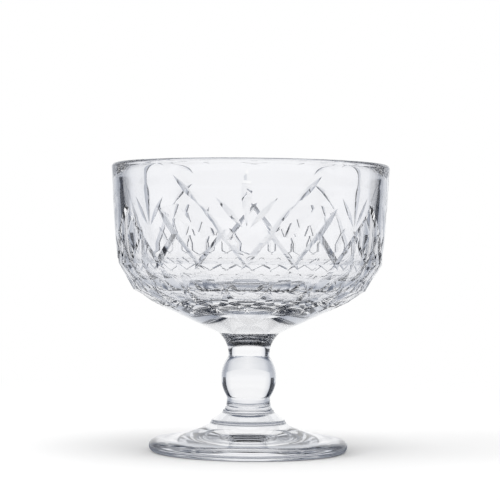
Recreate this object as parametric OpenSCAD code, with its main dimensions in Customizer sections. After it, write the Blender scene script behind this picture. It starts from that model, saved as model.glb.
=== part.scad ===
// Footed parfait glass: a cut bowl on a short knopped stem and a round foot.
// Millimetres, +Z up, origin at the centre of the resting plane.

/* [Bowl] */
// Outside diameter of the bowl at the rim
rim_d = 111; // [97:1:125]
// Height of the bowl, from the top of the stem to the rim
bowl_h = 67.2; // [60:0.2:75]
// Outside diameter where the straight side wall ends and the heel begins
waist_d = 106; // [100:0.5:108]
// Height of that place above the top of the stem
waist_h = 30.5; // [28:0.5:33]
// Slope of the underside of the bowl, in degrees from level
base_slope = 24.8; // [21:0.2:27]
// Thickness of the side wall half way up
wall_t = 4.5; // [3.8:0.1:5]
// Thickness of the rounded rim
rim_t = 2.9; // [2:0.1:3.2]
// Thickness of glass under the flat floor of the bowl
floor_t = 13.4; // [12:0.2:15]

/* [Cut pattern] */
// Number of fan motifs around the bowl, each six diamonds wide
motifs = 3; // [3:1:4]
// Width of a mitre cut at the surface of the glass
mitre_w = 2.9; // [2:0.1:3.2]
// Depth of a mitre cut
mitre_depth = 1.25; // [0.8:0.05:1.4]
// Depth of the flat facets at the corners of each diamond
facet_depth = 0.4; // [0.25:0.05:0.55]
// Width of the upright leaf in the middle of a fan
leaf_w = 4.2; // [3:0.1:5]
// Width of the slanted leaves
side_leaf_w = 2.4; // [1.6:0.1:3]

/* [Stem] */
// Height of the stem, between the foot and the bowl
stem_h = 30.9; // [26:0.1:36]
// Diameter of the stem where it meets the bowl
stem_top_d = 24.4; // [22:0.2:27]
// Diameter of the narrow neck under the bowl
neck_d = 16.4; // [14:0.2:18]
// Diameter of the knop
knop_d = 22; // [20:0.2:25]
// Height of the whole ellipse that the knop follows
knop_h = 25; // [22:0.2:27]

/* [Foot] */
// Diameter of the foot
foot_d = 79.2; // [70:0.2:90]
// Height of the foot, up to the stem
foot_h = 16.4; // [14:0.2:19]
// Thickness of the rounded edge of the foot
foot_edge_t = 5; // [4:0.1:5.6]
// Height of the hollow under the middle of the foot
punt_h = 2.2; // [1:0.1:3]

/* [Hidden] */
glass = [0.86, 0.92, 0.93, 0.45];
turned_fn = 96;
cut_fn = 90;

// Steps in a curve, in the half round of the rim and in each half of a leaf
curve_steps = 8;
round_steps = 6;
leaf_steps = 4;

// Heights at which the stem and the bowl start
stem_z = foot_h;
bowl_z = foot_h + stem_h;

// Outside of the bowl, as radii and heights above the top of the stem
stem_top_r = stem_top_d / 2;
waist_r = waist_d / 2;
rim_r = rim_d / 2;
rim_round = rim_t / 2;
heel_r = waist_r * 0.735;
belly_r = waist_r + (rim_r - waist_r) * 0.52;
belly_h = waist_h + (bowl_h - waist_h) * 0.3;

// Inside of the bowl: a lip that thickens below the rim, a long side and a flat floor
lip_h = bowl_h - rim_round;
lip_r = rim_r - rim_t;
lip_bend_r = lip_r - (wall_t - rim_t) * 0.85;
lip_bend_h = bowl_h - rim_t * 1.3;
inner_top_r = rim_r - wall_t;
inner_top_h = lip_h - rim_t * 3;
inner_low_r = waist_r - wall_t * 1.05;
inner_low_h = waist_h * 1.1;
floor_r = inner_low_r * 0.38;

// One column of the lattice is one diamond wide, and a motif starts at the front
columns_in_motif = 6;
columns = motifs * columns_in_motif;
column_a = 360 / columns;
front_a = -90;
half = 0.5;

// The pattern's places are shares of the height of the bowl, where the waist lies at this share
waist_share = 0.454;

// Rows of the lattice where mitre cuts cross, and the hem under it
low_share = 0.148;
hem_share = 0.186;
down_share = 0.254;
mid_share = 0.409;
up_share = 0.573;
top_share = 0.728;

// A mitre cut of the lattice that leans to the right, each point as
// [column, share of the bowl's height, share of the full depth], from where it runs in at the hem
lattice_shares = [[-1.11, 0.125, 0], [-1, low_share, 0.4], [-half, down_share, 1],
    [0, mid_share, 1], [half, up_share, 1]];

// How the six such cuts of a motif end: the first three go on above the lattice to the right of the fan,
// long and thin, short and broad, and up to the next motif's; the others run out past the lattice
long_cut_shares = [[0.68, 0.65, 0.8], [0.84, 0.71, 0.4], [1.02, 0.755, 0.12]];
short_cut_shares = [[0.74, 0.66, 0.85], [0.93, top_share, 0]];
closing_cut_shares = [[1, top_share, 0.75], [1.08, 0.753, 0]];
run_out_shares = [[0.59, 0.603, 0]];

// Leaf cuts, each as its low end, its widest place and its tip, in columns and shares of the height
fan_leaf_shares = [[0, 0.612], [0, 0.815], [0, 0.944]];
side_leaf_shares = [[0.07, 0.612], [0.31, 0.69], [0.61, 0.78]];
long_leaf_shares = [[0.95, 0.74], [1.24, 0.825], [1.52, 0.905]];
leaf_bow_share = 1.55;
side_leaf_depth_share = 0.8;
long_leaf_depth_share = 0.75;

// Ridge between the long and the short cut, from its foot to its end, and the outer ends of its two facets
ridge_shares = [0.9, 0.564];
ridge_end_shares = [1.42, 0.735];
long_side_end_shares = [0.97, 0.735];
short_side_end_shares = [1.9, 0.72];

// How far a cutter stands out of the glass, how far past the middle of a diamond a facet cutter runs,
// the least bite of a cutter, and the step used to find the lean of the wall
clear = rim_r * (1 - cos(column_a / 2)) + mitre_depth * 0.6;
overrun_share = 1.15;
sliver = mitre_depth * 0.016;
probe = bowl_h * 0.0015;

// Stem, as radii and heights above the foot
neck_r = neck_d / 2;
knop_r = knop_d / 2;
knop_mid_h = stem_h * 0.425;
flare_h = stem_h * 0.72;
flare_bend_h = stem_h * 0.885;
lower_neck_share = 0.785;
lower_neck_r = knop_r * lower_neck_share;
lower_neck_h = knop_mid_h - knop_h / 2 * sqrt(1 - pow(lower_neck_share, 2));
stem_low_r = lower_neck_r * 1.14;

// Foot, as radii and heights
foot_r = foot_d / 2;
collar_r = stem_low_r * 1.03;
collar_low_r = collar_r * 1.1;
collar_low_h = foot_h * 0.925;
collar_bend_h = foot_h * 0.95;
bead_r = collar_r * 1.41;
bead_h = foot_h * 0.745;
bead_t = foot_h * 0.06;
slope_r = foot_r * 0.55;
slope_h = foot_h * 0.43;
edge_r = foot_r * 0.92;
edge_bend_h = foot_edge_t * 0.92;
rest_out_r = foot_r * 0.925;
rest_in_r = foot_r * 0.84;
punt_r = foot_r * 0.59;

// A quadratic curve from a to c that leaves and arrives along the lines to b
function curve(a, b, c, steps = curve_steps) =
    [for (i = [0:steps]) let (t = i / steps) a * pow(1 - t, 2) + 2 * b * t * (1 - t) + c * pow(t, 2)];

// Part of an ellipse around mid, from angle a0 to a1
function arc(mid, size, a0, a1, steps = curve_steps) =
    [for (i = [0:steps]) let (a = a0 + (a1 - a0) * i / steps) mid + [size[0] * cos(a), size[1] * sin(a)]];

// Height of the cone under the bowl at radius r
function base_h(r) = (r - stem_top_r) * tan(base_slope);

function outer_side() = concat(
    [[stem_top_r, 0]],
    curve([heel_r, base_h(heel_r)], [waist_r, base_h(waist_r)], [waist_r, waist_h]),
    curve([waist_r, waist_h], [belly_r, belly_h], [rim_r, lip_h]));

function inner_side() = concat(
    curve([lip_r, lip_h], [lip_bend_r, lip_bend_h], [inner_top_r, inner_top_h], round_steps),
    arc([floor_r, inner_low_h], [inner_low_r - floor_r, inner_low_h - floor_t], 0, -90));

function bowl_section() = concat(
    [[0, 0]],
    outer_side(),
    arc([rim_r - rim_round, lip_h], [rim_round, rim_round], 0, 180, round_steps),
    inner_side(),
    [[0, floor_t]]);

// Radius of the uncut bowl at height h
profile_table = [for (p = outer_side()) [p[1], p[0]]];
function wall_r(h) = lookup(h, profile_table);

// Lean of the wall at height h, in degrees: 0 where it is upright
function lean(h) = atan2(wall_r(h + probe) - wall_r(h - probe), 2 * probe);

// Height of a share of the pattern: it stretches with the heel below the waist and with the wall above
function share_h(share) = share < waist_share
    ? waist_h * share / waist_share
    : waist_h + (bowl_h - waist_h) * (share - waist_share) / (1 - waist_share);

// A point on the bowl, at a column around it, a share of its height and a depth under its surface
// A depth less than 0 is outside the glass
function spot(column, share, depth) =
    let (h = share_h(share), r = wall_r(h) - depth * cos(lean(h)), a = ($column + column) * column_a)
    [r * cos(a), r * sin(a), h + depth * sin(lean(h))];

// Direction straight out of the glass at such a point
function outward(column, share) = spot(column, share, -1) - spot(column, share, 0);

// The same path on either side of a motif's middle; side is 1 or -1
function on_side(path, side) = [for (p = path) [for (i = [0:len(p) - 1]) i == 0 ? p[i] * side : p[i]]];

module solid_over(points) {
    hull() polyhedron(points, [[for (i = [0:len(points) - 1]) i]]);
}

// One flat facet: it runs along a mitre through the low points and rises to the high points
// A low point is [column, share, depth] and a high point, at the surface, is [column, share]
module facet(low, high) {
    lows = [for (p = low) spot(p[0], p[1], p[2])];
    along = (lows[0] + lows[1]) / 2;
    tops = [for (p = high) along + (spot(p[0], p[1], 0) - along) * overrun_share];
    out = outward(high[0][0], high[0][1]) * clear;
    solid_over(concat(lows, tops, [for (p = low) spot(p[0], p[1], -clear)], [for (p = tops) p + out]));
}

// The V section of a cut at point p = [column, share, share of the full depth], cut in direction d
function vee(p, d, w = mitre_w, depth = mitre_depth) =
    let (
        low = spot(p[0], p[1], depth * p[2]),
        out = outward(p[0], p[1]),
        side = cross(out, d) / norm(cross(out, d)),
        rise = depth * p[2] + clear,
        reach = rise * w / 2 / depth)
    [low, low + out * rise + side * reach, low + out * rise - side * reach];

// A mitre cut through a list of points, each [column, share, share of the full depth]
module mitre(path) {
    last = len(path) - 1;
    at = [for (p = path) spot(p[0], p[1], 0)];
    sections = [for (i = [0:last]) vee(path[i], at[min(i + 1, last)] - at[max(i - 1, 0)])];
    for (i = [1:last]) {
        solid_over(concat(sections[i - 1], sections[i]));
    }
}

// A leaf-shaped cut through three points, w wide and depth deep at the middle one, with edges that bow out
module leaf(points, w, depth) {
    d = spot(points[2][0], points[2][1], 0) - spot(points[0][0], points[0][1], 0);
    solid_over([for (tip = [points[0], points[2]]) for (i = [0:leaf_steps])
        let (t = i / leaf_steps, p = tip * (1 - t) + points[1] * t, share = 1 - pow(1 - t, leaf_bow_share))
        each vee([p[0], p[1], max(share, -sliver / depth)], d, w, depth)]);
}

// A full diamond around column c, between rows lo, mid and up
module diamond(c, lo, mid, up) {
    corners = [[c - half, mid], [c, lo], [c + half, mid], [c, up]];
    for (i = [0:3]) {
        facet([concat(corners[i], facet_depth), concat(corners[(i + 1) % 4], facet_depth)], [[c, mid]]);
    }
}

// A half diamond at the hem of the pattern: only its two upper facets
module hem_diamond(c) {
    for (s = [-half, half]) {
        facet([[c + s, low_share, facet_depth], [c, down_share, facet_depth]], [[c, hem_share]]);
    }
}

// One lattice cut and its end, from column c of a motif
module lattice_cut(c, end_shares, side) {
    mitre(on_side([for (p = concat(lattice_shares, end_shares)) [p[0] + c, p[1], p[2]]], side));
}

// The ridged strip that runs up between the long and the short cut
module strip(side) {
    ends = on_side([ridge_shares, ridge_end_shares, long_side_end_shares, short_side_end_shares], side);
    for (c = [half, 1 + half]) {
        facet([[side, mid_share, facet_depth], [side * c, up_share, facet_depth]], [ends[0]]);
    }
    facet([[side * half, up_share, facet_depth], concat(ends[2], sliver)], [ends[0], ends[1]]);
    facet([[side * (1 + half), up_share, facet_depth], concat(ends[3], sliver)], [ends[0], ends[1]]);
}

// Six columns of the lattice, and above them a fan of three leaves with the cuts beside it
module motif() {
    for (c = [-columns_in_motif / 2:columns_in_motif / 2 - 1]) {
        diamond(c + half, down_share, mid_share, up_share);
        diamond(c, low_share, down_share, mid_share);
        hem_diamond(c + half);
    }
    leaf(fan_leaf_shares, leaf_w, mitre_depth);
    for (side = [-1, 1]) {
        lattice_cut(0, long_cut_shares, side);
        lattice_cut(1, short_cut_shares, side);
        lattice_cut(2, closing_cut_shares, side);
        for (c = [-columns_in_motif / 2:-1]) {
            lattice_cut(c, run_out_shares, side);
        }
        leaf(on_side(side_leaf_shares, side), side_leaf_w, mitre_depth * side_leaf_depth_share);
        leaf(on_side(long_leaf_shares, side), side_leaf_w, mitre_depth * long_leaf_depth_share);
        strip(side);
    }
    diamond(columns_in_motif / 2, mid_share, up_share, top_share);
}

module bowl() {
    color(glass) translate([0, 0, bowl_z]) difference() {
        rotate_extrude($fn = cut_fn) polygon(bowl_section());
        rotate([0, 0, front_a]) {
            for ($column = [0:columns_in_motif:columns - 1]) {
                motif();
            }
        }
    }
}

// The stem is a neck that flares to the bowl, a knop and a lower neck
module stem() {
    section = concat(
        [[0, 0]],
        curve([stem_low_r, 0], [lower_neck_r * 0.98, lower_neck_h * 0.4], [lower_neck_r, lower_neck_h]),
        arc([0, knop_mid_h], [knop_r, knop_h / 2], -acos(lower_neck_share), acos(neck_r / knop_r)),
        curve([neck_r, flare_h], [neck_r * 1.01, flare_bend_h], [stem_top_r, stem_h]),
        [[0, stem_h]]);
    color(glass) translate([0, 0, stem_z]) rotate_extrude($fn = turned_fn) polygon(section);
}

// The foot has a collar and a low bead around the stem, then sweeps out to a rounded edge
module foot() {
    section = concat(
        [[0, punt_h]],
        curve([0, punt_h], [punt_r, punt_h], [rest_in_r, 0]),
        curve([rest_out_r, 0], [foot_r, 0], [foot_r, foot_edge_t / 2]),
        curve([foot_r, foot_edge_t / 2], [foot_r, edge_bend_h], [edge_r, foot_edge_t]),
        curve([edge_r, foot_edge_t], [slope_r, slope_h], [bead_r + bead_t, bead_h - bead_t]),
        arc([bead_r - bead_t, bead_h], [bead_t * 1.5, bead_t], 0, 60, round_steps),
        curve([collar_low_r, collar_low_h], [collar_r, collar_bend_h], [collar_r, foot_h]),
        [[0, foot_h]]);
    color(glass) rotate_extrude($fn = turned_fn) polygon(section);
}

bowl();
stem();
foot();
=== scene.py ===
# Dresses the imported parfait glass: a cut bowl, a knopped stem and a foot, all of clear glass.
# Lengths are in millimetres unless a comment says metres, and new_object turns them into metres.
import math

import bpy
import bmesh
import numpy as np
from mathutils import Matrix, Vector


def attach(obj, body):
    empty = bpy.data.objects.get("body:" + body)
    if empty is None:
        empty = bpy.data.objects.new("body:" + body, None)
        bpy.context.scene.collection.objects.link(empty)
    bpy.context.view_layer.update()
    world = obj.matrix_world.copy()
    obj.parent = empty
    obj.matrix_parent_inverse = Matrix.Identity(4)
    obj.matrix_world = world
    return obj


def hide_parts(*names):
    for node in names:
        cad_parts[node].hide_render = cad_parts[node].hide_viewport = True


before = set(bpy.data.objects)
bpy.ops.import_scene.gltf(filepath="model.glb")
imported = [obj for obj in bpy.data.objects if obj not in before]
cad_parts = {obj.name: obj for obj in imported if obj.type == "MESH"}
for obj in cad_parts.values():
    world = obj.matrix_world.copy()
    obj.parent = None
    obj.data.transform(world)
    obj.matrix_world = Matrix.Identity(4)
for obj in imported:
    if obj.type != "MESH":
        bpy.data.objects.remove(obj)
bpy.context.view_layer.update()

MM = 0.001
HALF = 0.5
SAME_POINT = 1e-6
NOTHING = 1e-9

# Sizes of the bowl, measured from the top of the stem
RIM_R = 55.5
BOWL_H = 67.2
WAIST_R = 53.0
WAIST_H = 30.5
BASE_SLOPE = math.radians(24.8)
WALL_T = 4.5
RIM_T = 2.9
FLOOR_T = 13.4
STEM_TOP_R = 12.2

# Sizes of the stem and the foot
STEM_H = 30.9
NECK_R = 8.2
KNOP_R = 11.0
KNOP_H = 25.0
FOOT_R = 39.6
FOOT_H = 16.4
FOOT_EDGE_T = 5.0
PUNT_H = 2.2

STEM_Z = FOOT_H
BOWL_Z = FOOT_H + STEM_H

# Sizes of the cuts. A cutter starts CLEAR outside the glass.
MITRE_W = 2.9
MITRE_DEPTH = 1.25
FACET_DEPTH = 0.4
LEAF_W = 4.2
SIDE_LEAF_W = 2.4
SIDE_LEAF_DEPTH = MITRE_DEPTH * 0.8
LONG_LEAF_DEPTH = MITRE_DEPTH * 0.75
CLEAR = 1.6
FACET_OVERRUN = 1.15    # how many times as far as its high points a facet runs
SLIVER = 0.02           # depth that lets two cuts end just inside one another
LEAN_STEP = 0.1         # height over which the lean of the wall is measured
MITRE_STEPS = 8
LEAF_STEPS = 7
LEAF_BOW = 1.55         # power of the bow of a leaf's two edges

# The pattern repeats around the bowl in motifs, and places on it are given as (column, share of the bowl's height)
# or (column, share, share of the cut's depth), with column 0 in the middle of a motif's fan.
MOTIFS = 3
COLUMNS_IN_MOTIF = 6
HALF_MOTIF = COLUMNS_IN_MOTIF // 2
COLUMN_A = 2 * math.pi / (MOTIFS * COLUMNS_IN_MOTIF)
FRONT_A = -math.pi / 2

# Rows where cuts cross
LOW, HEM, DOWN, MID, UP, TOP = 0.148, 0.186, 0.254, 0.409, 0.573, 0.728

# Each mitre cut follows the lattice from the slope up the wall, and then one of the ends
LATTICE = [(-1.11, 0.125, 0), (-1, LOW, 0.4), (-HALF, DOWN, 1), (0, MID, 1), (HALF, UP, 1)]
LONG_END = [(0.68, 0.65, 0.8), (0.84, 0.71, 0.4), (1.02, 0.755, 0.12)]
SHORT_END = [(0.74, 0.66, 0.85), (0.93, TOP, 0)]
CLOSING_END = [(1, TOP, 0.75), (1.08, 0.753, 0)]
RUN_OUT = [(0.59, 0.603, 0)]
MITRE_ENDS = ((0, LONG_END), (1, SHORT_END), (2, CLOSING_END), (-1, RUN_OUT), (-2, RUN_OUT), (-3, RUN_OUT))

# Leaf cuts, by their low end, widest place and tip
SIDE_LEAF = ((0.07, 0.612), (0.31, 0.69), (0.61, 0.78))
LONG_LEAF = ((0.95, 0.74), (1.24, 0.825), (1.52, 0.905))
FAN_LEAF = ((0, 0.612), (0, 0.815), (0, 0.944))

# The ridge between the four facets on each side of the fan, and the outer corners of the upper two
RIDGE, RIDGE_END, LONG_CORNER, SHORT_CORNER = (0.9, 0.564), (1.42, 0.735), (0.97, 0.735), (1.9, 0.72)

# Kinds of face, which are also the slots of their materials
BODY, MITRE, FACET, SEAM = 0, 1, 2, 3

# Largest angle in degrees between two faces of a kind that still look like one smooth surface
SMOOTH_UP_TO = {BODY: 35.0, MITRE: 6.0, FACET: 0.5, SEAM: 1.0}


def straight(a, b, steps):
    a, b = np.array(a, float), np.array(b, float)
    return [tuple(a + (b - a) * t) for t in np.linspace(0, 1, steps + 1)]


def curve(a, b, c, steps):
    """A quadratic curve from a to c that leaves and arrives along the lines to b."""
    a, b, c = np.array(a, float), np.array(b, float), np.array(c, float)
    return [tuple(a * (1 - t) ** 2 + 2 * b * t * (1 - t) + c * t * t) for t in np.linspace(0, 1, steps + 1)]


def arc(mid, size, a0, a1, steps):
    """Part of an ellipse around mid, from angle a0 to a1 in degrees."""
    angles = np.radians(np.linspace(a0, a1, steps + 1))
    return [(mid[0] + size[0] * math.cos(a), mid[1] + size[1] * math.sin(a)) for a in angles]


def joined(*parts):
    """One outline from several, without doubled points."""
    out = []
    for part in parts:
        for p in part:
            if not out or math.dist(p, out[-1]) > SAME_POINT:
                out.append(p)
    return out


# Outline of the bowl: the places worked out from its sizes and from shares of them
HEEL_SHARE = 0.735
BELLY_OUT_SHARE, BELLY_UP_SHARE = 0.52, 0.3
LIP_IN_SHARE, LIP_DOWN_SHARE, LIP_END_SHARE = 0.85, 1.3, 3
INNER_LOW_SHARES = (1.05, 1.1)
FLOOR_SHARE = 0.38
HEEL_R = WAIST_R * HEEL_SHARE
HEEL_H = (HEEL_R - STEM_TOP_R) * math.tan(BASE_SLOPE)
WAIST_BEND_H = (WAIST_R - STEM_TOP_R) * math.tan(BASE_SLOPE)
BELLY_R = WAIST_R + (RIM_R - WAIST_R) * BELLY_OUT_SHARE
BELLY_H = WAIST_H + (BOWL_H - WAIST_H) * BELLY_UP_SHARE
RIM_ROUND = RIM_T / 2
LIP_H = BOWL_H - RIM_ROUND
LIP_R = RIM_R - RIM_T
LIP_END_H = LIP_H - RIM_T * LIP_END_SHARE
INNER_LOW_R = WAIST_R - WALL_T * INNER_LOW_SHARES[0]
INNER_LOW_H = WAIST_H * INNER_LOW_SHARES[1]
FLOOR_R = INNER_LOW_R * FLOOR_SHARE

OUTER = joined(
    straight((STEM_TOP_R, 0), (HEEL_R, HEEL_H), steps=10),
    curve((HEEL_R, HEEL_H), (WAIST_R, WAIST_BEND_H), (WAIST_R, WAIST_H), steps=36),
    curve((WAIST_R, WAIST_H), (BELLY_R, BELLY_H), (RIM_R, LIP_H), steps=30))
INNER = joined(
    curve((LIP_R, LIP_H), (LIP_R - (WALL_T - RIM_T) * LIP_IN_SHARE, BOWL_H - RIM_T * LIP_DOWN_SHARE),
          (RIM_R - WALL_T, LIP_END_H), steps=16),
    straight((RIM_R - WALL_T, LIP_END_H), (INNER_LOW_R, INNER_LOW_H), steps=12),
    arc((FLOOR_R, INNER_LOW_H), (INNER_LOW_R - FLOOR_R, INNER_LOW_H - FLOOR_T), 0, -90, steps=40))
BOWL = joined(
    [(0, 0)], OUTER,
    arc((RIM_R - RIM_ROUND, LIP_H), (RIM_ROUND, RIM_ROUND), 0, 180, steps=20),
    INNER, [(0, FLOOR_T)])

OUTER_H = np.array([p[1] for p in OUTER])
OUTER_R = np.array([p[0] for p in OUTER])

# Outline of the stem
LOWER_NECK_SHARE = 0.785
LOWER_BEND_SHARES = (0.98, 0.4)
STEM_LOW_SHARE = 1.14
KNOP_MID_SHARE = 0.425
FLARE_FROM_SHARE = 0.72
FLARE_BEND_SHARES = (1.01, 0.885)
LOWER_NECK_R = KNOP_R * LOWER_NECK_SHARE
KNOP_MID_H = STEM_H * KNOP_MID_SHARE
LOWER_NECK_H = KNOP_MID_H - KNOP_H / 2 * math.sqrt(1 - LOWER_NECK_SHARE ** 2)
STEM_LOW_R = LOWER_NECK_R * STEM_LOW_SHARE
STEM = joined(
    [(0, 0)],
    curve((STEM_LOW_R, 0), (LOWER_NECK_R * LOWER_BEND_SHARES[0], LOWER_NECK_H * LOWER_BEND_SHARES[1]),
          (LOWER_NECK_R, LOWER_NECK_H), steps=24),
    arc((0, KNOP_MID_H), (KNOP_R, KNOP_H / 2), -math.degrees(math.acos(LOWER_NECK_SHARE)),
        math.degrees(math.acos(NECK_R / KNOP_R)), steps=48),
    curve((NECK_R, STEM_H * FLARE_FROM_SHARE), (NECK_R * FLARE_BEND_SHARES[0], STEM_H * FLARE_BEND_SHARES[1]),
          (STEM_TOP_R, STEM_H), steps=32),
    [(0, STEM_H)])

# Outline of the foot: hollow, standing ring, edge, slope, bead and collar
PUNT_BEND_SHARE, RING_IN_SHARE, RING_OUT_SHARE = 0.59, 0.84, 0.925
EDGE_BEND_SHARE, EDGE_TOP_SHARE = 0.92, 0.92
SLOPE_BEND_SHARES = (0.55, 0.43)
BEAD_R_SHARE, BEAD_H_SHARE, BEAD_T_SHARE = 1.41, 0.745, 0.06
BEAD_ROUND_SHARE, BEAD_ROUND_END = 1.5, 60
COLLAR_SHARE = 1.03
COLLAR_FLARE_SHARES = (1.1, 0.925)
COLLAR_BEND_SHARE = 0.95
COLLAR_R = STEM_LOW_R * COLLAR_SHARE
BEAD_R = COLLAR_R * BEAD_R_SHARE
BEAD_H = FOOT_H * BEAD_H_SHARE
BEAD_T = FOOT_H * BEAD_T_SHARE
EDGE_TOP_R = FOOT_R * EDGE_TOP_SHARE
FOOT = joined(
    [(0, PUNT_H)],
    curve((0, PUNT_H), (FOOT_R * PUNT_BEND_SHARE, PUNT_H), (FOOT_R * RING_IN_SHARE, 0), steps=40),
    curve((FOOT_R * RING_OUT_SHARE, 0), (FOOT_R, 0), (FOOT_R, FOOT_EDGE_T / 2), steps=20),
    curve((FOOT_R, FOOT_EDGE_T / 2), (FOOT_R, FOOT_EDGE_T * EDGE_BEND_SHARE), (EDGE_TOP_R, FOOT_EDGE_T), steps=20),
    curve((EDGE_TOP_R, FOOT_EDGE_T), (FOOT_R * SLOPE_BEND_SHARES[0], FOOT_H * SLOPE_BEND_SHARES[1]),
          (BEAD_R + BEAD_T, BEAD_H - BEAD_T), steps=48),
    arc((BEAD_R - BEAD_T, BEAD_H), (BEAD_T * BEAD_ROUND_SHARE, BEAD_T), 0, BEAD_ROUND_END, steps=12),
    curve((COLLAR_R * COLLAR_FLARE_SHARES[0], FOOT_H * COLLAR_FLARE_SHARES[1]),
          (COLLAR_R, FOOT_H * COLLAR_BEND_SHARE), (COLLAR_R, FOOT_H), steps=12),
    [(0, FOOT_H)])


def wall_r(h):
    """The radius of the bowl's outside at a height."""
    return float(np.interp(h, OUTER_H, OUTER_R))


def lean(h):
    """How far the bowl's outside leans outward at a height, in radians."""
    return math.atan2(wall_r(h + LEAN_STEP) - wall_r(h - LEAN_STEP), 2 * LEAN_STEP)


def spot(column, share, depth):
    """A point on the bowl: column around it, share of its height, depth under its surface."""
    h = BOWL_H * share
    r = wall_r(h) - depth * math.cos(lean(h))
    a = FRONT_A + column * COLUMN_A
    return np.array([r * math.cos(a), r * math.sin(a), h + depth * math.sin(lean(h))])


def outward(column, share):
    """The direction straight out of the bowl's surface."""
    return spot(column, share, -1) - spot(column, share, 0)


def finer(path, steps):
    """The same path with more points between its own."""
    out = []
    for a, b in zip(path, path[1:]):
        for i in range(steps):
            t = i / steps
            out.append(tuple(x + (y - x) * t for x, y in zip(a, b)))
    return out + [tuple(path[-1])]


def vee(p, d, w=MITRE_W, depth=MITRE_DEPTH):
    """The V section of a cut at p, run in direction d."""
    low = spot(p[0], p[1], depth * p[2])
    out = outward(p[0], p[1])
    side = np.cross(out, d)
    side /= np.linalg.norm(side)
    rise = depth * p[2] + CLEAR
    reach = rise * w / 2 / depth
    return [low, low + out * rise + side * reach, low + out * rise - side * reach]


def hull_mesh(points):
    """Vertices and faces of the convex hull of some points."""
    bm = bmesh.new()
    for p in points:
        bm.verts.new(Vector(p))
    bmesh.ops.convex_hull(bm, input=bm.verts)
    loose = [v for v in bm.verts if not v.link_faces]
    bmesh.ops.delete(bm, geom=loose, context="VERTS")
    bmesh.ops.recalc_face_normals(bm, faces=bm.faces)
    bm.verts.index_update()
    verts = [np.array(v.co) for v in bm.verts]
    faces = [[v.index for v in f.verts] for f in bm.faces]
    bm.free()
    return verts, faces


def facet(low, high):
    """A flat facet through the low points (column, share, depth) that rises to the high ones (column, share)."""
    lows = [spot(*p) for p in low]
    along = (lows[0] + lows[1]) / 2
    tops = [along + (spot(p[0], p[1], 0) - along) * FACET_OVERRUN for p in high]
    out = outward(*high[0]) * CLEAR
    return hull_mesh(lows + tops + [spot(p[0], p[1], -CLEAR) for p in low] + [p + out for p in tops])


def swept(sections):
    """A closed mesh through a row of triangle sections."""
    verts = [v for s in sections for v in s]
    faces = [[2, 1, 0], [len(verts) - 3, len(verts) - 2, len(verts) - 1]]
    for i in range(len(sections) - 1):
        for k in range(3):
            a, b = 3 * i + k, 3 * i + (k + 1) % 3
            faces.append([a, b, b + 3, a + 3])
    return verts, faces


def mitre(path):
    """A long V-shaped cut along a path."""
    path = finer(path, MITRE_STEPS)
    at = [spot(p[0], p[1], 0) for p in path]
    last = len(path) - 1
    return swept([vee(p, at[min(i + 1, last)] - at[max(i - 1, 0)]) for i, p in enumerate(path)])


def leaf(points, w, depth):
    """A leaf-shaped cut whose two edges bow out to the widest place."""
    low, wide, tip = points
    d = spot(tip[0], tip[1], 0) - spot(low[0], low[1], 0)
    path = []
    for a, b, up in ((low, wide, True), (wide, tip, False)):
        for i in range(LEAF_STEPS + (not up)):
            t = i / LEAF_STEPS
            share = 1 - (1 - t) ** LEAF_BOW if up else 1 - t ** LEAF_BOW
            path.append((a[0] + (b[0] - a[0]) * t, a[1] + (b[1] - a[1]) * t, max(share, -SLIVER)))
    return swept([vee(p, d, w, depth) for p in path])


def cutter_groups():
    """The cuts of the pattern in groups whose members don't touch one another."""
    groups = {}

    def add(name, kind, piece):
        groups.setdefault((name, kind), []).append(piece)

    for motif in range(MOTIFS):
        m = motif * COLUMNS_IN_MOTIF

        def put(points, side=1, shift=0):
            """The points on one side of this motif, moved by some columns before that."""
            return [((p[0] + shift) * side + m,) + tuple(p[1:]) for p in points]

        def diamond(c, lo, mid, up, row):
            """Four facets that rise to the middle of a diamond of cuts."""
            corners = [(c - HALF, mid), (c, lo), (c + HALF, mid), (c, up)]
            for i in range(4):
                edge = (corners[i] + (FACET_DEPTH,), corners[(i + 1) % 4] + (FACET_DEPTH,))
                add("facet%s%d" % (row, i), FACET, facet(put(edge), put([(c, mid)])))

        for side in (-1, 1):
            for c, end in MITRE_ENDS:
                add("mitre%d" % side, MITRE, mitre(put(LATTICE + end, side, c)))

        for c in range(-HALF_MOTIF, HALF_MOTIF):
            diamond(c + HALF, DOWN, MID, UP, "a")
            diamond(c, LOW, DOWN, MID, "b")
            for i, s in enumerate((-HALF, HALF)):
                edge = ((c + HALF + s, LOW, FACET_DEPTH), (c + HALF, DOWN, FACET_DEPTH))
                add("hem%d" % i, FACET, facet(put(edge), put([(c + HALF, HEM)])))
        diamond(HALF_MOTIF, MID, UP, TOP, "c")

        for side in (-1, 1):
            def strip(number, edge, high):
                add("strip%d" % number, FACET, facet(put(edge, side), put(high, side)))

            for i, c in enumerate((HALF, 1 + HALF)):
                strip(i, ((1, MID, FACET_DEPTH), (c, UP, FACET_DEPTH)), [RIDGE])
            strip(2, ((HALF, UP, FACET_DEPTH), LONG_CORNER + (SLIVER,)), (RIDGE, RIDGE_END))
            strip(3, ((1 + HALF, UP, FACET_DEPTH), SHORT_CORNER + (SLIVER,)), (RIDGE, RIDGE_END))
            add("leaf%d" % side, MITRE, leaf(put(SIDE_LEAF, side), SIDE_LEAF_W, SIDE_LEAF_DEPTH))
            add("long_leaf", MITRE, leaf(put(LONG_LEAF, side), SIDE_LEAF_W, LONG_LEAF_DEPTH))
        add("fan_leaf", MITRE, leaf(put(FAN_LEAF), LEAF_W, MITRE_DEPTH))
    return groups


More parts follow.
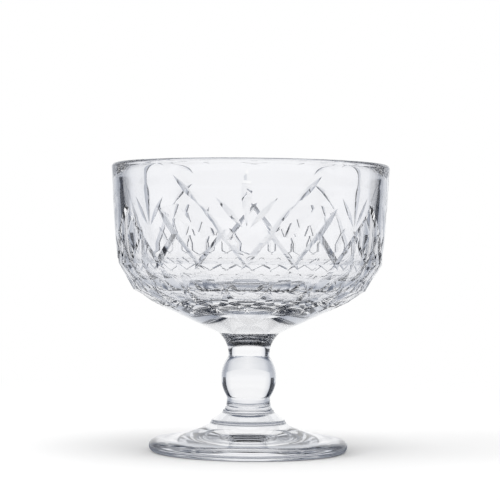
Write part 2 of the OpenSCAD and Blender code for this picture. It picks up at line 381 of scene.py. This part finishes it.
def new_object(name, verts, faces, z0=0.0):
    mesh = bpy.data.meshes.new(name)
    mesh.from_pydata([(v[0] * MM, v[1] * MM, (v[2] + z0) * MM) for v in verts], [], [list(f) for f in faces])
    mesh.update()
    obj = bpy.data.objects.new(name, mesh)
    bpy.context.scene.collection.objects.link(obj)
    return obj


def add_slots(obj, mats):
    for m in mats:
        obj.data.materials.append(m)


def lathe(name, outline, z0, around, flat_ends):
    """Turns an outline of (radius, height) around the axis. Flat faces at a height in flat_ends are seams."""
    verts, rows = [], []
    angles = [2 * math.pi * (i + HALF) / around for i in range(around)]
    for r, h in outline:
        if r < NOTHING:
            rows.append([len(verts)] * around)
            verts.append((0, 0, h))
        else:
            rows.append(list(range(len(verts), len(verts) + around)))
            verts += [(r * math.cos(a), r * math.sin(a), h) for a in angles]
    faces, kinds = [], []
    for (p, low), (q, high) in zip(zip(outline, rows), list(zip(outline, rows))[1:]):
        flat = any(abs(p[1] - f) < NOTHING and abs(q[1] - f) < NOTHING for f in flat_ends)
        for i in range(around):
            j = (i + 1) % around
            ring = [low[i], low[j], high[j], high[i]]
            face = [v for k, v in enumerate(ring) if v not in ring[:k]]
            if len(face) > 2:
                faces.append(face)
                kinds.append(SEAM if flat else BODY)
    obj = new_object(name, verts, faces, z0)
    for face, kind in zip(obj.data.polygons, kinds):
        face.material_index = kind
    return obj


def finish_shading(obj):
    """Smooth body, crisp cuts: an edge is sharp where two kinds of face meet or where it bends too much."""
    bm = bmesh.new()
    bm.from_mesh(obj.data)
    for f in bm.faces:
        f.smooth = True
    for e in bm.edges:
        kinds = {f.material_index for f in e.link_faces}
        e.smooth = (len(e.link_faces) == 2 and len(kinds) == 1
                    and e.calc_face_angle(0.0) < math.radians(SMOOTH_UP_TO[kinds.pop()]))
    bm.to_mesh(obj.data)
    bm.free()
    obj.data.update()


def cut_bowl(bowl, mats):
    """Cuts the pattern into the bowl, one group of cutters at a time."""
    for (name, kind), pieces in cutter_groups().items():
        verts, faces = [], []
        for v, f in pieces:
            base = len(verts)
            verts += v
            faces += [[i + base for i in face] for face in f]
        tool = new_object("cutter_" + name, verts, faces, BOWL_Z)
        add_slots(tool, mats)
        for face in tool.data.polygons:
            face.material_index = kind
        bm = bmesh.new()
        bm.from_mesh(tool.data)
        bmesh.ops.recalc_face_normals(bm, faces=bm.faces)
        bm.to_mesh(tool.data)
        bm.free()
        mod = bowl.modifiers.new("cut", "BOOLEAN")
        mod.operation = "DIFFERENCE"
        mod.solver = "MANIFOLD"
        mod.object = tool
        bpy.context.view_layer.update()
        done = bpy.data.meshes.new_from_object(bowl.evaluated_get(bpy.context.evaluated_depsgraph_get()))
        bowl.modifiers.remove(mod)
        old = bowl.data
        bowl.data = done
        bpy.data.meshes.remove(old)
        bpy.data.objects.remove(tool)


# Powers of a grey level that give its red, green and blue, so that a dark grey is bluer than a light one
COOL_POWERS = (1.26, 1.17, 1.0)


class Nodes:
    """Small helpers to build a node tree."""

    def __init__(self, tree):
        self.tree = tree
        self.link = tree.links.new

    def new(self, kind, **values):
        """A new node, with the values of some of its inputs."""
        n = self.tree.nodes.new("ShaderNode" + kind)
        for name, value in values.items():
            n.inputs[name.replace("_", " ")].default_value = value
        return n

    def fill(self, node, sockets, values):
        """Sets or links each of a node's inputs, depending on whether the value is a number."""
        for slot, x in zip(sockets, values):
            if isinstance(x, (int, float)):
                node.inputs[slot].default_value = x
            else:
                self.link(x, node.inputs[slot])

    def math(self, op, *values):
        n = self.new("Math")
        n.operation = op
        self.fill(n, range(len(values)), values)
        return n.outputs[0]

    def smooth(self, value, low, high):
        """0 below low and 1 above high, with a smooth step between."""
        n = self.new("MapRange", From_Min=low, From_Max=high)
        n.interpolation_type = "SMOOTHSTEP"
        self.link(value, n.inputs["Value"])
        return n.outputs["Result"]

    def ramp(self, value, low, high, stops):
        """A grey level that follows the stops as value goes from low to high."""
        n = self.new("ValToRGB")
        n.color_ramp.interpolation = "LINEAR"
        marks = n.color_ramp.elements
        marks.remove(marks[1])
        for i, (at, level) in enumerate(stops):
            pos = (at - low) / (high - low)
            mark = marks[0] if i == 0 else marks.new(pos)
            mark.position = pos
            mark.color = (level, level, level, 1)
        self.link(self.math("DIVIDE", self.math("SUBTRACT", value, low), high - low), n.inputs["Fac"])
        return n.outputs["Color"]

    def ramp_round(self, degrees, stops):
        """A ramp over the full turn around the glass."""
        return self.ramp(degrees, -180, 180, stops)

    def mix(self, fac, a, b):
        n = self.new("Mix")
        n.data_type = "FLOAT"
        self.fill(n, (0, 2, 3), (fac, a, b))
        return n.outputs[0]

    def mix_shader(self, fac, a, b):
        n = self.new("MixShader")
        self.fill(n, (0, 1, 2), (fac, a, b))
        return n.outputs[0]

    def cool(self, level):
        """A grey of this level that is the bluer the darker it is."""
        n = self.new("CombineColor")
        self.fill(n, range(3), [self.math("POWER", level, power) for power in COOL_POWERS])
        return n.outputs[0]

    def around(self, x, y):
        """Degrees round from the direction straight behind the glass, with the left side below zero."""
        return self.math("MULTIPLY", self.math("ARCTAN2", x, y), math.degrees(1))

    def split(self, vector):
        n = self.new("SeparateXYZ")
        self.link(vector, n.inputs[0])
        return n.outputs

    def in_glass(self):
        """1 for light that comes through glass or in its reflections, and the output for the camera."""
        path = self.new("LightPath")
        return (self.math("MAXIMUM", path.outputs["Is Glossy Ray"], path.outputs["Is Transmission Ray"]),
                path.outputs["Is Camera Ray"])


def new_material(name):
    """A material with an empty node tree, and the helpers for that tree."""
    mat = bpy.data.materials.new(name)
    mat.use_nodes = True
    mat.node_tree.nodes.clear()
    return mat, Nodes(mat.node_tree)


GLASS_TINT = (0.975, 0.977, 0.988, 1)
GLASS_IOR = 1.52
WAVE_DETAIL, WAVE_ROUGHNESS = 2.0, 0.4
POLISH_SCALE, POLISH_DETAIL = 900.0, 3.0
POLISH_FROM, POLISH_TO = 0.35, 0.75    # values of the noise where the polish starts and stops getting duller


def glass_material(name, wave, wave_scale, roughest):
    """Clear glass with a faint waviness, wave metres deep, and a faint uneven polish."""
    mat, nodes = new_material(name)
    bsdf = nodes.new("BsdfPrincipled", Transmission_Weight=1.0, IOR=GLASS_IOR, Base_Color=GLASS_TINT)
    nodes.link(bsdf.outputs[0], nodes.new("OutputMaterial").inputs["Surface"])
    coord = nodes.new("TexCoord").outputs["Object"]
    noise = nodes.new("TexNoise", Scale=wave_scale, Detail=WAVE_DETAIL, Roughness=WAVE_ROUGHNESS)
    bump = nodes.new("Bump", Strength=1.0, Distance=wave)
    nodes.link(coord, noise.inputs["Vector"])
    nodes.link(noise.outputs["Fac"], bump.inputs["Height"])
    nodes.link(bump.outputs["Normal"], bsdf.inputs["Normal"])
    polish = nodes.new("TexNoise", Scale=POLISH_SCALE, Detail=POLISH_DETAIL)
    spread = nodes.new("MapRange", From_Min=POLISH_FROM, From_Max=POLISH_TO, To_Min=0.0, To_Max=roughest)
    nodes.link(coord, polish.inputs["Vector"])
    nodes.link(polish.outputs["Fac"], spread.inputs["Value"])
    nodes.link(spread.outputs["Result"], bsdf.inputs["Roughness"])
    return mat


def seam_material():
    """Where two pieces of glass are fused there is no surface, so light goes straight through."""
    mat, nodes = new_material("fused_seam")
    clear = nodes.new("BsdfTransparent")
    nodes.link(clear.outputs[0], nodes.new("OutputMaterial").inputs["Surface"])
    return mat


MATS = [
    glass_material("moulded_glass", wave=0.00001, wave_scale=55.0, roughest=0.006),
    glass_material("cut_glass", wave=0.000002, wave_scale=320.0, roughest=0.006),
    glass_material("facet_glass", wave=0.000003, wave_scale=160.0, roughest=0.005),
    seam_material()]

bowl = lathe("glass_bowl", BOWL, BOWL_Z, around=360, flat_ends=(0.0,))
add_slots(bowl, MATS)
cut_bowl(bowl, MATS)
finish_shading(bowl)

stem = lathe("glass_stem", STEM, STEM_Z, around=240, flat_ends=(0.0, STEM_H))
add_slots(stem, MATS)
finish_shading(stem)

foot = lathe("glass_foot", FOOT, 0.0, around=300, flat_ends=(FOOT_H,))
add_slots(foot, MATS)
finish_shading(foot)

for piece, node in ((bowl, "bowl"), (stem, "stem"), (foot, "foot")):
    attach(piece, "root")
    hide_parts(node)

# How light the surroundings look in the glass, and only there. Panels of light stand behind, in front and at both
# sides, with dark gaps between them, so that the glass has dark edges. Stops are (degrees, level), round from
# straight behind with the left side below zero, or up from the horizon in WORLD_UP.
WORLD_LOW = [
    (-180, 0.85), (-122, 0.8), (-116, 0.1), (-108, 0.1), (-102, 0.8), (-66, 0.8), (-60, 0.02), (-37, 0.01),
    (-36, 0.55), (-22, 0.55), (-18, 0.9), (18, 0.95), (22, 0.68), (36, 0.65), (37, 0.01), (60, 0.02),
    (66, 0.85), (102, 0.85), (108, 0.1), (116, 0.1), (122, 0.85), (180, 0.9)]
WORLD_HIGH = [
    (-180, 0.15), (-120, 0.03), (-60, 0.01), (-37, 0.01), (-35, 0.5), (-22, 0.9), (22, 0.9), (35, 0.6),
    (37, 0.01), (76, 0.01), (84, 0.4), (98, 0.4), (106, 0.03), (180, 0.15)]
WORLD_UP = [(-90, 0.8), (12, 1.0), (24, 0.9), (34, 0.5), (42, 0.05), (55, 0.01), (90, 0.01)]
# The floor as the glass sees it, in painted levels: under the foot, darker behind; a painted dark ring of shade
# just round the foot's edge; then near and far, with painted dark gaps at the sides
FLOOR_UNDER = [(-180, 0.45), (-110, 0.45), (-70, 0.8), (0, 0.9), (70, 0.8), (110, 0.45), (180, 0.45)]
FLOOR_RING_PAINTED_SHADE = [(-180, 0.4), (-70, 0.2), (-35, 0.16), (0, 0.18), (35, 0.16), (70, 0.2), (180, 0.4)]
FLOOR_NEAR = [
    (-180, 0.85), (-90, 0.78), (-60, 0.68), (-46, 0.55), (-38, 0.55), (-33, 0.66), (-25, 0.8), (0, 0.95),
    (25, 0.82), (33, 0.7), (38, 0.52), (46, 0.44), (60, 0.62), (90, 0.75), (180, 0.88)]
FLOOR_FAR = [
    (-180, 0.85), (-90, 0.75), (-62, 0.6), (-56, 0.02), (-37, 0.02), (-36, 0.5), (-22, 0.55), (-18, 0.85),
    (18, 0.85), (22, 0.68), (36, 0.6), (37, 0.02), (56, 0.02), (62, 0.7), (90, 0.8), (180, 0.85)]

# Where one table gives way to the next: degrees above the horizon, and metres from the glass's axis on the floor
LOW_TO_HIGH = (5, 12)
UNDER_TO_RING = (0.029, 0.036)
RING_TO_NEAR = (0.045, 0.06)
NEAR_TO_FAR = (0.6, 0.7)

# Plain studio: the floor's grey, metres from the axis where the camera sees it fade to white, and the world's light
FLOOR_GREY = 0.9
FLOOR_TO_WHITE = (0.07, 0.42)
WORLD_LIGHT = 0.9
FLOOR_SIDE = 3000
FLOOR_BELOW = 0.02

# White card close behind the glass: how far, how wide to each side, how high, and its levels by millimetres
# across and up
CARD_BEHIND, CARD_SIDE, CARD_TOP = 130, 113, 125
CARD_ACROSS = [(-113, 0.55), (-94, 0.85), (-60, 1.0), (60, 1.0), (94, 0.88), (113, 0.65)]
CARD_UP = [(0, 0.93), (40, 1.0)]


def build_floor():
    """A pale floor with the glass's own soft shadow, which fades into the white background. In the glass it shows
    painted levels instead: painted shade under the foot, darker behind, a painted dark ring just round the foot's
    edge, and painted dark gaps at the sides.
    """
    corners = [(x * FLOOR_SIDE, y * FLOOR_SIDE, 0) for x, y in ((-1, -1), (1, -1), (1, 1), (-1, 1))]
    floor = new_object("floor", corners, [(0, 1, 2, 3)], -FLOOR_BELOW)
    mat, nodes = new_material("pale_floor_painted_in_glass")
    place = nodes.new("NewGeometry").outputs["Position"]
    x, y, _ = nodes.split(place)
    length = nodes.new("VectorMath")
    length.operation = "LENGTH"
    nodes.link(place, length.inputs[0])
    far = length.outputs["Value"]
    degrees = nodes.around(x, y)
    level = nodes.mix(nodes.smooth(far, *NEAR_TO_FAR), nodes.ramp_round(degrees, FLOOR_NEAR),
                      nodes.ramp_round(degrees, FLOOR_FAR))
    level = nodes.mix(nodes.smooth(far, *RING_TO_NEAR), nodes.ramp_round(degrees, FLOOR_RING_PAINTED_SHADE), level)
    level = nodes.mix(nodes.smooth(far, *UNDER_TO_RING), nodes.ramp_round(degrees, FLOOR_UNDER), level)
    # For glass rays the floor glows in these painted levels, in place of its own lit shading and the glass's real
    # shadow
    shine = nodes.new("Emission")
    nodes.link(nodes.cool(level), shine.inputs["Color"])
    glassy, camera_ray = nodes.in_glass()
    pale = nodes.new("BsdfDiffuse", Color=(FLOOR_GREY, FLOOR_GREY, FLOOR_GREY, 1))
    fade = nodes.math("MULTIPLY", camera_ray, nodes.smooth(far, *FLOOR_TO_WHITE))
    plain = nodes.mix_shader(fade, pale.outputs[0], nodes.new("Emission").outputs[0])
    nodes.link(nodes.mix_shader(glassy, plain, shine.outputs[0]), nodes.new("OutputMaterial").inputs["Surface"])
    floor.data.materials.append(mat)


def build_card():
    """The card lights the glass from behind and is seen only in it."""
    corners = [(x * CARD_SIDE, CARD_BEHIND, z) for x, z in ((-1, 0), (1, 0), (1, CARD_TOP), (-1, CARD_TOP))]
    card = new_object("white_card", corners, [(0, 1, 2, 3)])
    mat, nodes = new_material("lit_card")
    x, _, z = nodes.split(nodes.new("NewGeometry").outputs["Position"])
    level = nodes.math("MULTIPLY",
                       nodes.ramp(nodes.math("DIVIDE", x, MM), -CARD_SIDE, CARD_SIDE, CARD_ACROSS),
                       nodes.ramp(nodes.math("DIVIDE", z, MM), 0, CARD_TOP, CARD_UP))
    shine = nodes.new("Emission")
    nodes.link(nodes.cool(level), shine.inputs["Color"])
    nodes.link(shine.outputs[0], nodes.new("OutputMaterial").inputs["Surface"])
    card.data.materials.append(mat)
    card.visible_camera = card.visible_diffuse = card.visible_shadow = False


def build_world():
    """White for the camera, panels of light with dark gaps for the glass, and plain light for the floor."""
    world = bpy.data.worlds.new("studio")
    bpy.context.scene.world = world
    world.use_nodes = True
    world.node_tree.nodes.clear()
    nodes = Nodes(world.node_tree)
    x, y, z = nodes.split(nodes.new("TexCoord").outputs["Generated"])
    rise = nodes.math("MULTIPLY", nodes.math("ARCSINE", z), math.degrees(1))
    degrees = nodes.around(x, y)
    level = nodes.mix(nodes.smooth(rise, *LOW_TO_HIGH), nodes.ramp_round(degrees, WORLD_LOW),
                      nodes.ramp_round(degrees, WORLD_HIGH))
    level = nodes.math("MULTIPLY", level, nodes.ramp(rise, -90, 90, WORLD_UP))
    panels = nodes.new("Background")
    nodes.link(nodes.cool(level), panels.inputs["Color"])
    plain = nodes.new("Background", Color=(1, 1, 1, 1), Strength=WORLD_LIGHT)
    white = nodes.new("Background", Color=(1, 1, 1, 1))
    glassy, camera_ray = nodes.in_glass()
    lit = nodes.mix_shader(glassy, plain.outputs[0], panels.outputs[0])
    nodes.link(nodes.mix_shader(camera_ray, lit, white.outputs[0]), nodes.new("OutputWorld").inputs["Surface"])


def area_lamp(name, place, aim, size, power):
    """A soft rectangular lamp that the glass doesn't show. Place, aim and size are in metres."""
    data = bpy.data.lights.new(name, "AREA")
    data.shape = "RECTANGLE"
    data.size, data.size_y = size
    data.energy = power
    lamp = bpy.data.objects.new(name, data)
    bpy.context.scene.collection.objects.link(lamp)
    lamp.location = place
    lamp.rotation_euler = (Vector(aim) - Vector(place)).to_track_quat("-Z", "Y").to_euler()
    lamp.visible_glossy = lamp.visible_transmission = False


build_floor()
build_card()
build_world()
area_lamp("softbox_left", place=(-0.9, -0.35, 0.7), aim=(0, 0, 0.06), size=(0.35, 0.7), power=3.0)
area_lamp("softbox_top", place=(0.1, -0.2, 1.1), aim=(0, 0, 0.05), size=(0.5, 0.5), power=3.0)

# Camera: 74 cm away and nearly level, with a slight roll and 1.5 degrees round from the middle of a fan, as in
# the photo. Heights and distances are in metres, and sizes in the picture in pixels.
IMAGE_PX = 500
PIXELS_PER_MM = 2.5
FOCAL_PX = 1850.0
DISTANCE = FOCAL_PX / PIXELS_PER_MM * MM
CAMERA_H = 0.0776
HORIZON_BELOW_MIDDLE = 7.0
ROLL = 0.0102
SPIN = math.radians(1.5)
NEAR_CLIP, FAR_CLIP = 0.01, 100
cam_data = bpy.data.cameras.new("camera")
cam_data.lens = cam_data.sensor_width * FOCAL_PX / IMAGE_PX
cam_data.clip_start = NEAR_CLIP
cam_data.clip_end = FAR_CLIP
camera = bpy.data.objects.new("camera", cam_data)
bpy.context.scene.collection.objects.link(camera)
pitch = math.atan(HORIZON_BELOW_MIDDLE / FOCAL_PX)
stand = Matrix.Rotation(SPIN, 4, "Z") @ Matrix.Translation((0, -DISTANCE, CAMERA_H))
camera.matrix_world = stand @ Matrix.Rotation(math.pi / 2 + pitch, 4, "X") @ Matrix.Rotation(ROLL, 4, "Z")
bpy.context.scene.camera = camera

# Enough bounces for light to pass through both walls of the cut bowl
GLASS_BOUNCES, GLOSSY_BOUNCES = 32, 16
cycles = bpy.context.scene.cycles
cycles.max_bounces = GLASS_BOUNCES
cycles.transmission_bounces = GLASS_BOUNCES
cycles.glossy_bounces = GLOSSY_BOUNCES
cycles.transparent_max_bounces = GLASS_BOUNCES
bpy.context.scene.view_settings.view_transform = "Standard"
